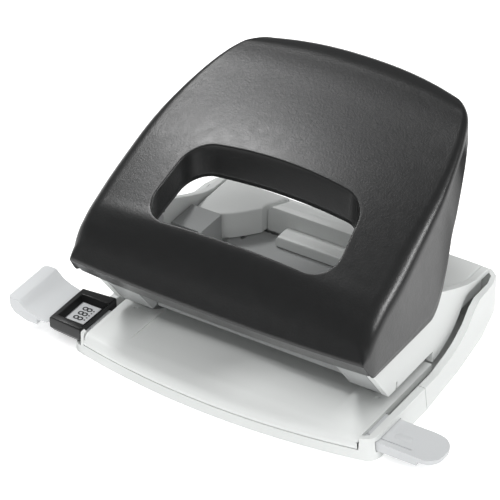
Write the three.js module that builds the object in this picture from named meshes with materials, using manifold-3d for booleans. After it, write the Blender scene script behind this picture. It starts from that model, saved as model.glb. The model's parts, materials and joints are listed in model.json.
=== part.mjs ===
// Two-hole desk punch with a grip-window handle, a sliding paper guide and a drop-down chad tray.
// Units are millimetres. +X is to the right, +Y is to the back, +Z is up.
// x = 0 is the middle of the punch, y = 0 is the line through the two holes, z = 0 is the table.

import * as THREE from "three";
import { mergeVertices } from "three/addons/utils/BufferGeometryUtils.js";
import Module from "manifold-3d";

const wasm = await Module();
wasm.setup();

// ---------------------------------------------------------------- driving dimensions

const GAP = 0.3;                  // clearance between neighbouring pieces

// base plan
const BASE_HALF = 53.9;           // half width of the base at the front
const BASE_FRONT = -32.2;         // foremost point of the bowed front edge
const BASE_FRONT_BOW = 6.2;       // how far the front corners stand behind the middle
const BASE_CORNER = 5;            // front corner radius
const WALL_INNER = 50.6;          // inner face of the side walls
const WALL_THIN = 1.6;            // wall thickness where the base narrows
const SEAM_Y = 4.65;              // where front shell and chad tray meet
const SHELL_BOTTOM = 0.5;
const FLOOR_TOP = 2.2;
const FRONT_LIP_TOP = 3.9;        // height of the lip under the bed's front edge
const SIDE_WALL_TOP = 8.2;
const TAIL_AT_FLOOR = [[52.3, 26.4], [50.9, 37.2], [49.8, 45.5], [48.4, 50.2], [45.4, 52.6]];
const TAIL_AT_RIM = [[53.1, 26.4], [52.8, 37.2], [52.2, 46.5], [51, 51.2], [48.2, 53.5]];
const RIM_LEAN = 0.9;             // how far the side walls lean in at the rim
const TAIL_WALL_CURVE = [
  [12, SIDE_WALL_TOP], [20.6, 10], [25.2, 11.6], [30.3, 14.6], [34.6, 18.9], [37.6, 20.6],
];
const TAIL_WALL_TOP = 21;

// bed the paper lies on
const BED_HALF = 48.4;
const BED_TOP = 7.8;
const BED_UNDER_BAR = 6.6;        // underside above the guide bar
const BED_UNDERSIDE = 5.2;        // underside behind the guide bar
const BED_REAR = 16.7;
const DIP_HALF = 35.5;            // half width of the shallow centre dip
const DIP_START = -23;
const DIP_DEPTH = 1.3;

// guide bar, its window frame and the paper stop
const BAR_FRONT = -23.8;
const BAR_REAR = -10.4;
const BAR_BOTTOM = 4.9;
const BAR_TOP = 6.4;
const BAR_RIGHT = 65;             // where the flat part ends and the rounded tip begins
const BAR_TIP = 72.4;
const BAR_LEFT = -66;
const TIP_TILT = 5;               // degrees that the tip slopes down
const TIP_DROP = 0.7;             // the tip hangs this much lower at its end
const RIB_BOTTOM = 3.3;
const RIB_DEPTH = 1.3;
const RIB_RIGHT = 66.4;
const INDEX_INNER = -50.3;
const INDEX_OUTER = -62.2;
const INDEX_FRONT = -26.6;
const INDEX_REAR = -6.4;
const INDEX_TOP = 8.9;
const INDEX_BOTTOM = 3.5;
const INDEX_WINDOW = { x0: -59.2, x1: -51.9, y0: -22.4, y1: -11.7 };
const STOP_INNER = -62.6;
const STOP_OUTER = -77.2;
const STOP_FRONT = -27;
const STOP_REAR = -6.6;
const STOP_TOP = 11.6;

// side frames, punch blocks and rear deck
const PLATE_INNER = 46.2;
const PLATE_OUTER = 48.4;
const BLOCK_INNER = 35;
const SLOT_TOP = 12.2;            // ceiling of the paper slot
const BLOCK_FLOOR = 1.6;
const BLOCK_WALL = 1;
const BLOCK_TOP = 24.6;
const BLOCK_REAR = 29.8;
const DECK_TOP = 23;
const DECK_REAR = 51.4;
const DECK_BOTTOM = 13.7;

// handle pivot and punches
const PIVOT = { y: -17, z: 34 };
const EYE_RADIUS = 6.9;
const AXLE_RADIUS = 2.4;
const RUNNING_FIT = 0.1;          // radial clearance of shafts in their bores
const PUNCH_X = 40;
const PUNCH_RADIUS = 2.75;
const PUNCH_TIP = 12.6;
const PUNCH_HEAD_TOP = 35.3;
const PUNCH_HEAD_RADIUS = 3.8;
const PUNCH_HEAD_HEIGHT = 2;
const GUIDE_TOP = 16.6;
const SPRING_RADIUS = 3;
const SPRING_WIRE = 0.42;
const SPRING_TURNS = 4.5;
const ROLLER_RADIUS = 2.5;
const ROLLER = { y: -0.3, z: 38.2 };

// handle shell: stations from front edge to back edge as [y, top z, half width] along the side edge
const HANDLE_TOP = [
  [-29.4, 37.0, 51.0], [-28.2, 39.4, 51.3], [-26.2, 43.2, 51.6], [-24, 46.3, 51.8], [-21, 48.9, 51.9],
  [-18, 51.0, 51.9], [-14, 53.0, 51.9], [-6, 57.0, 51.7], [2, 60.9, 51.1], [10, 64.4, 50.4],
  [18, 67.3, 49.4], [26, 70.0, 47.8], [34, 72.6, 45.8], [42, 75.1, 43.3], [46.6, 76.3, 41.5],
  [50.4, 77.1, 39.2], [53.6, 77, 36.2], [55.6, 75.6, 33.2], [56.8, 73, 31.2],
];
// lower edge of the same shell as [y, z, half width]
const HANDLE_BOTTOM = [
  [-29.4, 36.3, 51.1], [-25.2, 30.2, 51.7], [-23.5, 29.6, 51.8], [8.9, 29.6, 51.7], [12.7, 31.7, 51.6],
  [15.1, 35, 51.5], [16.8, 38.6, 51.4], [19.6, 46.3, 51.2], [21.2, 51.2, 50.9], [25.4, 56.5, 50],
  [30, 62.5, 48.8], [35, 68, 47.2], [40, 70.4, 45], [46, 71, 42], [50.4, 71, 38.8], [56.8, 71, 30.2],
];
const HANDLE_WALL = 1.7;
const HANDLE_EDGE = 5;            // rounding between top and sides
const HANDLE_CROWN = 3.4;         // how much higher the middle is than the side edges
const HANDLE_REAR_CROWN = 1.8;    // the same at the free end
const HANDLE_FRONT_BOW = -1.8;
const HANDLE_REAR_BOW = 4.4;
const HANDLE_FRONT_CAVITY = -24.5;
const WINDOW = { front: -18.8, rear: 7.3, halfFront: 33.2, halfRear: 29.8, corner: 8, bow: 2.3 };
const WINDOW_DEPTH = 8.8;
const WINDOW_WALL = 1.5;

// ---------------------------------------------------------------- solids

function toSolid(geometry) {
  const bare = geometry.clone();
  bare.deleteAttribute("normal");
  bare.deleteAttribute("uv");
  const merged = mergeVertices(bare, 1e-4);
  return new wasm.Manifold(new wasm.Mesh({
    numProp: 3,
    vertProperties: new Float32Array(merged.attributes.position.array),
    triVerts: new Uint32Array(merged.index.array),
  }));
}

function toGeometry(solid) {
  const mesh = solid.getMesh();
  const indexed = new THREE.BufferGeometry();
  indexed.setAttribute("position", new THREE.BufferAttribute(new Float32Array(mesh.vertProperties), 3));
  indexed.setIndex(new THREE.BufferAttribute(new Uint32Array(mesh.triVerts), 1));
  const flat = indexed.toNonIndexed();
  flat.computeVertexNormals();
  return flat;
}

// drops repeated corners and corners on a straight run
function tidy(points) {
  const apart = points.filter((p, i) => {
    const q = points[(i + 1) % points.length];
    return Math.hypot(p[0] - q[0], p[1] - q[1]) > 0.02;
  });
  return apart.filter((p, i) => {
    const before = apart[(i + apart.length - 1) % apart.length];
    const after = apart[(i + 1) % apart.length];
    const turn = (p[0] - before[0]) * (after[1] - p[1]) - (p[1] - before[1]) * (after[0] - p[0]);
    return Math.abs(turn) > 1e-5;
  });
}

const toShape = (points) => new THREE.Shape(tidy(points).map(([u, v]) => new THREE.Vector2(u, v)));

// a plan outline (x, y) pulled straight up
function pullUp(points, z0, z1) {
  const geometry = new THREE.ExtrudeGeometry(toShape(points), { depth: z1 - z0, bevelEnabled: false });
  geometry.translate(0, 0, z0);
  return toSolid(geometry);
}

// a side outline (y, z) pulled sideways along x
function pullSideways(points, x0, x1) {
  const geometry = new THREE.ExtrudeGeometry(toShape(points), { depth: x1 - x0, bevelEnabled: false });
  const turn = new THREE.Matrix4().makeBasis(
    new THREE.Vector3(0, 1, 0), new THREE.Vector3(0, 0, 1), new THREE.Vector3(1, 0, 0));
  geometry.applyMatrix4(turn);
  geometry.translate(x0, 0, 0);
  return toSolid(geometry);
}

function box(x0, x1, y0, y1, z0, z1) {
  const geometry = new THREE.BoxGeometry(x1 - x0, y1 - y0, z1 - z0);
  geometry.translate((x0 + x1) / 2, (y0 + y1) / 2, (z0 + z1) / 2);
  return toSolid(geometry);
}

function circle(u, v, radius, segments = 24) {
  const points = [];
  for (let i = 0; i < segments; i++) {
    const angle = (2 * Math.PI * i) / segments;
    points.push([u + radius * Math.cos(angle), v + radius * Math.sin(angle)]);
  }
  return points;
}

const post = (x, y, radius, z0, z1, segments) => pullUp(circle(x, y, radius, segments), z0, z1);
const rod = (y, z, radius, x0, x1, segments) => pullSideways(circle(y, z, radius, segments), x0, x1);

// points on an arc from angle a0 to a1 (degrees)
function arc(u, v, radius, a0, a1, steps) {
  const points = [];
  for (let i = 0; i <= steps; i++) {
    const angle = THREE.MathUtils.degToRad(a0 + ((a1 - a0) * i) / steps);
    points.push([u + radius * Math.cos(angle), v + radius * Math.sin(angle)]);
  }
  return points;
}

// closed skin through rings of equal length; each end is closed by a fan around its middle,
// so the end outlines have to be visible from there
function loft(rings) {
  const count = rings[0].length;
  const positions = rings.flat(2);
  const index = [];
  for (let k = 0; k + 1 < rings.length; k++) {
    for (let i = 0; i < count; i++) {
      const j = (i + 1) % count;
      const a = k * count + i;
      const b = k * count + j;
      index.push(a, b, b + count, a, b + count, a + count);
    }
  }
  const lastRing = rings.length - 1;
  for (const k of [0, lastRing]) {
    const middle = positions.length / 3;
    for (let axis = 0; axis < 3; axis++) {
      positions.push(rings[k].reduce((sum, p) => sum + p[axis], 0) / count);
    }
    for (let i = 0; i < count; i++) {
      const a = k * count + i;
      const b = k * count + ((i + 1) % count);
      if (k === 0) index.push(b, a, middle);
      else index.push(a, b, middle);
    }
  }
  const geometry = new THREE.BufferGeometry();
  geometry.setAttribute("position", new THREE.BufferAttribute(new Float32Array(positions), 3));
  geometry.setIndex(index);
  const solid = toSolid(geometry);
  return solid.volume() < 0 ? toSolid(flipped(geometry)) : solid;
}

function flipped(geometry) {
  const copy = geometry.clone();
  const index = copy.index.array;
  for (let i = 0; i < index.length; i += 3) {
    const keep = index[i];
    index[i] = index[i + 1];
    index[i + 1] = keep;
  }
  return copy;
}

// moves every corner of a counter-clockwise outline inwards by a distance
function inset(points, distance) {
  const count = points.length;
  return points.map((here, i) => {
    const before = points[(i + count - 1) % count];
    const after = points[(i + 1) % count];
    const into = new THREE.Vector2(here[0] - before[0], here[1] - before[1]).normalize();
    const out = new THREE.Vector2(after[0] - here[0], after[1] - here[1]).normalize();
    const sum = new THREE.Vector2(-into.y - out.y, into.x + out.x);
    const scale = (2 * distance) / Math.max(sum.lengthSq(), 0.5);
    return [here[0] + sum.x * scale, here[1] + sum.y * scale];
  });
}

// a plan outline stacked at several heights, each level [z, inset]
function stack(outline, levels) {
  const rings = levels.map(([z, distance]) => inset(outline, distance).map(([x, y]) => [x, y, z]));
  return loft(rings);
}

// a plan outline pulled up with a softened top edge
const softUp = (outline, z0, z1, soft) => stack(outline,
  [[z0, 0], [z1 - soft, 0], [z1 - 0.3 * soft, 0.3 * soft], [z1, soft]]);

const mirrorX = (solid) => solid.mirror([1, 0, 0]);
const rectangle = (x0, x1, y0, y1) => [[x0, y0], [x1, y0], [x1, y1], [x0, y1]];

// straight-line reading of a table of [position, value] pairs
function read(table, at, column = 1) {
  for (let i = 1; i < table.length; i++) {
    if (at <= table[i][0] || i === table.length - 1) {
      const share = (at - table[i - 1][0]) / (table[i][0] - table[i - 1][0]);
      return THREE.MathUtils.lerp(table[i - 1][column], table[i][column], Math.min(Math.max(share, 0), 1));
    }
  }
  return table[0][column];
}

// ---------------------------------------------------------------- base outline

const frontEdgeAt = (x) => BASE_FRONT + BASE_FRONT_BOW * (x / BASE_HALF) ** 2;

// plan outline of the base; lean pulls the side walls in and tail is its narrowing back end
function baseOutline(lean, tail) {
  const right = [];
  const half = BASE_HALF - lean;
  const cornerX = half - BASE_CORNER;
  for (let i = 1; i <= 8; i++) {
    const x = (cornerX * i) / 8;
    right.push([x, frontEdgeAt(x) + lean / 3]);
  }
  right.push(...arc(cornerX, frontEdgeAt(cornerX) + lean / 3 + BASE_CORNER, BASE_CORNER, -60, 0, 3));
  right.push([half, SEAM_Y], ...tail);
  const left = right.map(([x, y]) => [-x, y]).reverse();
  return [...right, ...left, [0, BASE_FRONT + lean / 3]];
}

const wallSideProfile = [
  [-60, 0], [80, 0], [80, TAIL_WALL_TOP], ...[...TAIL_WALL_CURVE].reverse(), [-60, SIDE_WALL_TOP],
];

// skin between an outline at floor level and one at rim level, carried on straight up
function flaredUp(floorOutline, rimOutline, zFloor, zRim, zTop) {
  const at = (outline, z) => outline.map(([x, y]) => [x, y, z]);
  return loft([at(floorOutline, zFloor), at(rimOutline, zRim), at(rimOutline, zTop)]);
}

// the whole outer tub before it is split at the seam
function tub() {
  const floorOutline = baseOutline(0, TAIL_AT_FLOOR);
  const rimOutline = baseOutline(RIM_LEAN, TAIL_AT_RIM);
  const hollowOf = (outline) => inset(outline, WALL_THIN).map(
    ([x, y]) => [THREE.MathUtils.clamp(x, -WALL_INNER, WALL_INNER), y]);
  const outer = flaredUp(floorOutline, rimOutline, SHELL_BOTTOM, SIDE_WALL_TOP, 24);
  const hollow = flaredUp(hollowOf(floorOutline), hollowOf(rimOutline), FLOOR_TOP, SIDE_WALL_TOP, 30);
  return outer.subtract(hollow).intersect(pullSideways(wallSideProfile, -60, 60));
}

const frontOf = (y) => box(-60, 60, -60, y, -5, 40);
const behind = (y) => box(-60, 60, y, 90, -5, 40);

// where the tray reaches forward under the two holes
const TONGUE = { x0: 30, x1: 46.6, front: -8.6 };

function lowerShell() {
  const barSlot = box(-60, 60, BAR_FRONT - 0.4, BAR_REAR + 0.4, BAR_BOTTOM - TIP_DROP - GAP, BAR_TOP + GAP);
  const ribSlot = box(-60, 60, BAR_FRONT - 0.4, BAR_FRONT + RIB_DEPTH + 0.4, RIB_BOTTOM - 0.3, BAR_TOP);
  const indexNotch = box(-60, INDEX_INNER + GAP, INDEX_FRONT - GAP, INDEX_REAR + GAP, INDEX_BOTTOM - GAP, 20);
  const bedFront = box(-BED_HALF - GAP, BED_HALF + GAP, -60, -22, FRONT_LIP_TOP, 20);
  const tongues = box(TONGUE.x0 - GAP, TONGUE.x1 + GAP, TONGUE.front - GAP, 20, -5, FLOOR_TOP + 0.5);
  const frontRail = box(-46, 46, BAR_FRONT - 1.9, BAR_FRONT - 0.4, FLOOR_TOP - 0.5, BED_UNDER_BAR - GAP);
  const rearRail = box(-28, 28, BAR_REAR + 0.4, BAR_REAR + 1.9, FLOOR_TOP - 0.5, BED_UNDERSIDE - GAP);
  return tub()
    .intersect(frontOf(SEAM_Y - GAP / 2))
    .add(frontRail)
    .add(rearRail)
    .subtract(barSlot)
    .subtract(ribSlot)
    .subtract(indexNotch)
    .subtract(bedFront)
    .subtract(tongues)
    .subtract(mirrorX(tongues));
}

function chadTray() {
  const floorJoin = box(-46.6, 46.6, SEAM_Y + GAP / 2, SEAM_Y + 6, SHELL_BOTTOM, FLOOR_TOP);
  const { x0, x1, front } = TONGUE;
  const tongue = box(x0, x1, front, SEAM_Y + 2, SHELL_BOTTOM, FLOOR_TOP);
  const tongueHollow = box(x0 + 1.2, x1 - 1.2, front + 1.2, SEAM_Y + 3, 1.5, FLOOR_TOP + 1);
  const fingerGrip = rod(56.2, 6.5, 6.5, -12, 12, 28);
  const gripBacking = box(-14, 14, 48.4, 51.6, FLOOR_TOP - 0.5, DECK_BOTTOM - 0.5);
  return tub()
    .intersect(behind(SEAM_Y + GAP / 2))
    .add(floorJoin)
    .add(tongue)
    .add(mirrorX(tongue))
    .add(gripBacking)
    .subtract(tongueHollow)
    .subtract(mirrorX(tongueHollow))
    .subtract(fingerGrip);
}

const baseMat = () => softUp(rectangle(-27.5, 27.5, -26.5, 3), 0, SHELL_BOTTOM - 0.1, 0.1);
const trayFoot = () => post(37, 42, 5, 0, SHELL_BOTTOM - 0.1, 20);

// ---------------------------------------------------------------- bed

function bedPlate() {
  const ring = (z, back) => {
    const points = [];
    for (let i = 0; i <= 12; i++) {
      const x = BED_HALF * ((2 * i) / 12 - 1);
      points.push([x, frontEdgeAt(x) + back, z]);
    }
    points.push([BED_HALF, BED_REAR, z], [-BED_HALF, BED_REAR, z]);
    return points;
  };
  const body = loft(
    [ring(FRONT_LIP_TOP + GAP, 0.1), ring(5.4, -0.3), ring(6.6, 0.1), ring(7.4, 0.9), ring(BED_TOP, 2)]);
  const underBar = box(-60, 60, -27.2, BAR_REAR + 0.6, 0, BED_UNDER_BAR);
  const underFront = box(-24, 24, -29.4, -27, 0, BED_UNDER_BAR);
  const underRear = box(-60, 60, BAR_REAR + 0.5, 60, 0, BED_UNDERSIDE);
  const dipFloor = BED_TOP - DIP_DEPTH;
  const dip = pullSideways(
    [[DIP_START, BED_TOP], [0, dipFloor], [BED_REAR + 1, dipFloor], [BED_REAR + 1, 12], [DIP_START, 12]],
    -DIP_HALF, DIP_HALF);
  const dieHole = post(PUNCH_X, 0, 4.6, 0, 20);
  const markDimple = post(43, -6.4, 0.8, BED_TOP - 0.5, 20, 12);
  return body
    .subtract(underBar)
    .subtract(underFront)
    .subtract(underRear)
    .subtract(dip)
    .subtract(dieHole)
    .subtract(mirrorX(dieHole))
    .subtract(markDimple)
    .subtract(mirrorX(markDimple));
}

const dieInsert = () => post(PUNCH_X, 0, 4.6 - GAP, BED_UNDERSIDE + 0.1, BED_TOP - 0.1)
  .subtract(post(PUNCH_X, 0, PUNCH_RADIUS + 0.15, 0, 20));

const backStop = () => softUp(rectangle(-34, 34, 12, 13.6), BED_TOP - DIP_DEPTH + GAP, SLOT_TOP - GAP, 0.3);

// ---------------------------------------------------------------- guide bar

function guideBar() {
  const middle = (BAR_FRONT + BAR_REAR) / 2;
  const half = (BAR_REAR - BAR_FRONT) / 2;
  const corner = 5.4;
  const flat = box(BAR_LEFT, BAR_RIGHT + 0.05, BAR_FRONT, BAR_REAR, BAR_BOTTOM, BAR_TOP);
  const tipOutline = [
    [BAR_RIGHT, BAR_FRONT],
    ...arc(BAR_TIP - corner, middle - half + corner, corner, -90, 0, 6),
    ...arc(BAR_TIP - corner, middle + half - corner, corner, 0, 90, 6),
    [BAR_RIGHT, BAR_REAR],
  ];
  const tip = pullUp(tipOutline, BAR_BOTTOM, BAR_TOP)
    .translate([-BAR_RIGHT, 0, -BAR_TOP])
    .rotate([0, TIP_TILT, 0])
    .translate([BAR_RIGHT, 0, BAR_TOP]);
  const rib = box(-60, RIB_RIGHT, BAR_FRONT, BAR_FRONT + RIB_DEPTH, RIB_BOTTOM, BAR_BOTTOM + 0.2);
  const groove = box(BAR_LEFT + 4, BAR_RIGHT - 1.5, BAR_FRONT + 2, BAR_FRONT + 2.5, BAR_TOP - 0.35, 20);
  const bumpPlan = [...arc(60, middle - 0.6, 1.5, -90, 90, 8), ...arc(57.4, middle - 0.6, 1.5, 90, 270, 8)];
  const bump = softUp(bumpPlan, BAR_TOP - 0.2, BAR_TOP + 0.12, 0.2);
  return flat.add(tip).add(rib).subtract(groove).add(bump);
}

function paperStop() {
  const side = [
    [STOP_INNER, 7.0], [STOP_INNER, 6.7],
    [-66.3, BAR_TOP + GAP], [-66.3, BAR_BOTTOM - 0.1],
    [-70, 5.0], [-74, 6.4], [STOP_OUTER, 9.2],
    [STOP_OUTER, STOP_TOP - 0.5], [STOP_OUTER + 0.4, STOP_TOP], [-72.9, STOP_TOP], [-72.4, STOP_TOP - 0.3],
    [-70.2, 9.2], [-67, 7.9],
  ];
  const depth = STOP_REAR - STOP_FRONT;
  const turned = new THREE.ExtrudeGeometry(toShape(side), { depth, bevelEnabled: false });
  turned.rotateX(Math.PI / 2);
  turned.translate(0, STOP_REAR, 0);
  const corner = 2.2;
  const plan = [
    [STOP_INNER + 1, STOP_FRONT + 0.6], [STOP_INNER + 1, STOP_REAR - 0.6], [-71, STOP_REAR],
    ...arc(STOP_OUTER + corner, STOP_REAR - corner, corner, 90, 180, 4),
    ...arc(STOP_OUTER + corner, STOP_FRONT + corner, corner, 180, 270, 4),
    [-71, STOP_FRONT],
  ];
  return toSolid(turned).intersect(pullUp(plan, 0, 20));
}

function indexFrame() {
  const plan = [
    [INDEX_INNER, INDEX_FRONT], [INDEX_INNER, INDEX_REAR], [INDEX_OUTER, INDEX_REAR - 1.2],
    [INDEX_OUTER, INDEX_FRONT + 0.9],
  ];
  const body = stack(plan, [
    [INDEX_BOTTOM, 1.1], [INDEX_BOTTOM + 1.6, 0],
    [INDEX_TOP - 0.7, 0], [INDEX_TOP - 0.2, 0.2], [INDEX_TOP, 0.7],
  ]);
  const { x0, x1, y0, y1 } = INDEX_WINDOW;
  const well = stack(rectangle(x0, x1, y0, y1), [[BAR_TOP - 0.2, 0], [INDEX_TOP + 1, -1.6]]);
  const passage = box(-70, -40, BAR_FRONT - 0.3, BAR_REAR + 0.3, BAR_BOTTOM - 0.25, BAR_TOP + GAP);
  const ribPassage = box(-70, -40, BAR_FRONT - 0.3, BAR_FRONT + RIB_DEPTH + 0.3, RIB_BOTTOM - 0.4, BAR_TOP);
  return body.subtract(well).subtract(passage).subtract(ribPassage);
}

function indexLens() {
  const { x0, x1, y0, y1 } = INDEX_WINDOW;
  return pullUp(rectangle(x0 + GAP, x1 - GAP, y0 + GAP, y1 - GAP), BAR_TOP + GAP, BAR_TOP + 0.75);
}

// ---------------------------------------------------------------- side frames and deck

// the slanted front edge runs from the slot corner up to the pivot eye
const FRAME_FOOT = [-9.3, 12];
const eyeArc = (radius, from, to) => arc(PIVOT.y, PIVOT.z, radius, from, to, 8);

function sidePlate() {
  const profile = [
    FRAME_FOOT,
    [BED_REAR + GAP, SLOT_TOP + 0.1], [BED_REAR + GAP, BED_TOP + 0.4],
    [22, 9.2], [26.4, 11], [30, 13.4], [32.8, 16.2], [35, 19], [36.8, 20.7], [38.4, 21.1],
    [DECK_REAR, 21.1], [DECK_REAR, DECK_TOP - 1], [DECK_REAR - 1, DECK_TOP],
    [43, DECK_TOP + 0.2], [37.5, 24.6], [30, 27.6], [21, 31.7], [8, 37], [-6, 40],
    ...eyeArc(EYE_RADIUS, 75, 216),
  ];
  const slit = box(PLATE_INNER - 1, PLATE_OUTER + 1, -4.9, -4.2, 10, 14.6);
  return pullSideways(profile, PLATE_INNER, PLATE_OUTER)
    .subtract(rod(PIVOT.y, PIVOT.z, AXLE_RADIUS + RUNNING_FIT, 0, 60))
    .subtract(slit);
}

function punchBlock() {
  const outer = [
    [FRAME_FOOT[0], SLOT_TOP], [BLOCK_REAR, SLOT_TOP], [BLOCK_REAR, BLOCK_TOP], [6, BLOCK_TOP], [3, 28],
    [-8, 36], [-9.4, 39],
    ...eyeArc(EYE_RADIUS, 40, 216),
  ];
  const x1 = PLATE_INNER - GAP;
  const floor = SLOT_TOP + BLOCK_FLOOR;
  const leverRoom = pullSideways(
    [[-8.8, floor], [18, floor], [18, 60], [-40, 60], [-40, 32.2], [-22.9, 32.2]],
    BLOCK_INNER + BLOCK_WALL, x1 + 1);
  const rearRoom = box(BLOCK_INNER + BLOCK_WALL, x1 + 1, 17, BLOCK_REAR + 1, floor, BLOCK_TOP - 1.5);
  return pullSideways(outer, BLOCK_INNER, x1)
    .subtract(leverRoom)
    .subtract(rearRoom)
    .subtract(post(PUNCH_X, 0, 4.1, 0, 30))
    .subtract(rod(PIVOT.y, PIVOT.z, AXLE_RADIUS + RUNNING_FIT, 0, 60));
}

const punchGuide = () => post(PUNCH_X, 0, 3.8, SLOT_TOP, GUIDE_TOP)
  .subtract(post(PUNCH_X, 0, PUNCH_RADIUS + RUNNING_FIT, 0, 30));

const axlePin = () => rod(PIVOT.y, PIVOT.z, AXLE_RADIUS, BLOCK_INNER - 0.6, PLATE_OUTER - 0.2)
  .add(rod(PIVOT.y, PIVOT.z, AXLE_RADIUS + 1.2, BLOCK_INNER - 1.6, BLOCK_INNER - 0.3));

function bridgePlate() {
  const half = BLOCK_INNER - GAP;
  const slit = box(30.8, 32.2, 35.8, 42.4, 0, 20);
  return box(-half, half, -7, 43, SLOT_TOP, SLOT_TOP + 1.2)
    .add(pullSideways([[-7, SLOT_TOP], [-5.6, SLOT_TOP], [-5.6, 15.6], [-7, 15.6]], -half, half))
    .subtract(slit)
    .subtract(mirrorX(slit));
}

// outline of the right ear of the deck, counter-clockwise
const EAR_PLAN = [
  [PLATE_INNER - GAP, BLOCK_REAR + GAP], [PLATE_INNER - GAP, DECK_REAR], [23.2, DECK_REAR], [27.3, 43.7],
  [27.4, 41.6], [30.8, 37.2], [33.6, 34.2], [37, 32], [41.4, 30.4],
];

function deckEar() {
  return softUp(EAR_PLAN, DECK_BOTTOM, DECK_TOP, 0.8)
    .subtract(stack(inset(EAR_PLAN, 1.8), [[DECK_BOTTOM - 1, 0], [DECK_TOP - 1.8, 0]]));
}

// raised box in the middle of the deck, with a step in its front face and a notch in its back edge
function rearBox() {
  const plan = [[-26.7, 43.9], [26.7, 43.9], [22.6, DECK_REAR], [-22.6, DECK_REAR]];
  const step = rectangle(-20, 24, 37.6, 45);
  const notch = box(-13.7, 13.7, DECK_REAR - 1.4, 60, 20, 30);
  const room = stack(inset(plan, 1.8), [[DECK_BOTTOM - 1, 0], [DECK_TOP - 2, 0]]);
  return softUp(plan, DECK_BOTTOM, DECK_TOP, 2)
    .add(softUp(step, DECK_BOTTOM, 17.4, 1.2))
    .subtract(notch)
    .subtract(room);
}

// ---------------------------------------------------------------- punches

const punchPin = () => post(PUNCH_X, 0, PUNCH_RADIUS, PUNCH_TIP, PUNCH_HEAD_TOP - 0.1)
  .subtract(rod(0, PUNCH_TIP - 1.9, 2.6, 30, 50, 24));

const punchCap = () => post(PUNCH_X, 0, PUNCH_HEAD_RADIUS, PUNCH_HEAD_TOP - PUNCH_HEAD_HEIGHT, PUNCH_HEAD_TOP)
  .subtract(post(PUNCH_X, 0, PUNCH_RADIUS + 0.2, PUNCH_HEAD_TOP - PUNCH_HEAD_HEIGHT - 1, PUNCH_HEAD_TOP + 1));

// closed coil between the guide shoulder and the cap
function punchSpring() {
  const z0 = GUIDE_TOP + GAP + SPRING_WIRE;
  const z1 = PUNCH_HEAD_TOP - PUNCH_HEAD_HEIGHT - GAP - SPRING_WIRE;
  class Coil extends THREE.Curve {
    getPoint(t, target = new THREE.Vector3()) {
      const angle = 2 * Math.PI * SPRING_TURNS * t;
      const radius = SPRING_RADIUS + SPRING_WIRE;
      return target.set(PUNCH_X + radius * Math.cos(angle), radius * Math.sin(angle), z0 + (z1 - z0) * t);
    }
  }
  return toSolid(new THREE.ExtrudeGeometry(toShape(circle(0, 0, SPRING_WIRE, 6)), {
    steps: Math.round(SPRING_TURNS * 14), extrudePath: new Coil(), bevelEnabled: false,
  }));
}

// ---------------------------------------------------------------- handle

function handleStations(steps) {
  const knots = HANDLE_TOP.map((p) => new THREE.Vector3(...p));
  const curve = new THREE.CatmullRomCurve3(knots, false, "centripetal");
  return curve.getPoints(steps);
}

// body between the top surface and a lower surface;
// options pull the skin inwards and choose the lower surface
function handleBody({ inward = 0, frontLimit = -100, rearLimit = 100, depth = null, steps = 36 }) {
  const rings = [];
  for (const station of handleStations(steps)) {
    if (station.x < frontLimit || station.x > rearLimit) continue;
    rings.push(handleRing(station, inward, depth));
  }
  return loft(rings);
}

function handleRing(station, inward, depth) {
  const y = station.x;
  const slope = (read(HANDLE_TOP, y + 0.8) - read(HANDLE_TOP, y - 0.8)) / 1.6;
  const top = station.y - inward * Math.sqrt(1 + slope * slope);
  const half = station.z - inward;
  const skirt = read(HANDLE_BOTTOM, y, 2) - inward;
  const rim = read(HANDLE_BOTTOM, y);
  const bottom = depth === null ? rim : Math.max(top - depth, 20);
  const radius = Math.max(Math.min(HANDLE_EDGE - inward, 0.45 * (top - bottom)), 0.2);
  const flare = (skirt - half) / Math.max(station.y - HANDLE_EDGE - rim, 4);
  const lowHalf = half + flare * (top - radius - bottom);
  const length = (y - HANDLE_TOP[0][0]) / (HANDLE_TOP[HANDLE_TOP.length - 1][0] - HANDLE_TOP[0][0]);
  const { lerp, smoothstep } = THREE.MathUtils;
  const fullCrown = lerp(HANDLE_CROWN, HANDLE_REAR_CROWN, smoothstep(y, 8, 50));
  const crown = fullCrown * smoothstep(y, HANDLE_TOP[0][0], -18);
  const bow = lerp(HANDLE_FRONT_BOW, HANDLE_REAR_BOW, length ** 1.5);
  const place = (x, z) => {
    const share = Math.min(Math.abs(x) / half, 1);
    return [x, y + bow * (1 - share ** 2.5), z];
  };
  const points = [];
  const flatHalf = half - radius;
  for (const [x, z] of arc(flatHalf, top - radius, radius, 0, 90, 4)) points.push(place(x, z));
  for (let i = 1; i < 12; i++) {
    const x = flatHalf * (1 - (2 * i) / 12);
    points.push(place(x, top + crown * (1 - (x / flatHalf) ** 2)));
  }
  for (const [x, z] of arc(-flatHalf, top - radius, radius, 90, 180, 4)) points.push(place(x, z));
  for (let i = 0; i <= 6; i++) points.push(place(lowHalf * (i / 3 - 1), bottom));
  return points;
}

// rounds every corner of a counter-clockwise outline
function rounded(points, radius, steps) {
  const count = points.length;
  return points.flatMap(([x, y], i) => {
    const before = points[(i + count - 1) % count];
    const after = points[(i + 1) % count];
    const into = Math.atan2(y - before[1], x - before[0]);
    const out = Math.atan2(after[1] - y, after[0] - x);
    const turn = THREE.MathUtils.euclideanModulo(out - into, 2 * Math.PI);
    const setback = radius * Math.tan(turn / 2);
    const u = x - setback * Math.cos(into) - radius * Math.sin(into);
    const v = y - setback * Math.sin(into) + radius * Math.cos(into);
    const from = THREE.MathUtils.radToDeg(into) - 90;
    return arc(u, v, radius, from, from + THREE.MathUtils.radToDeg(turn), steps);
  });
}

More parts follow.
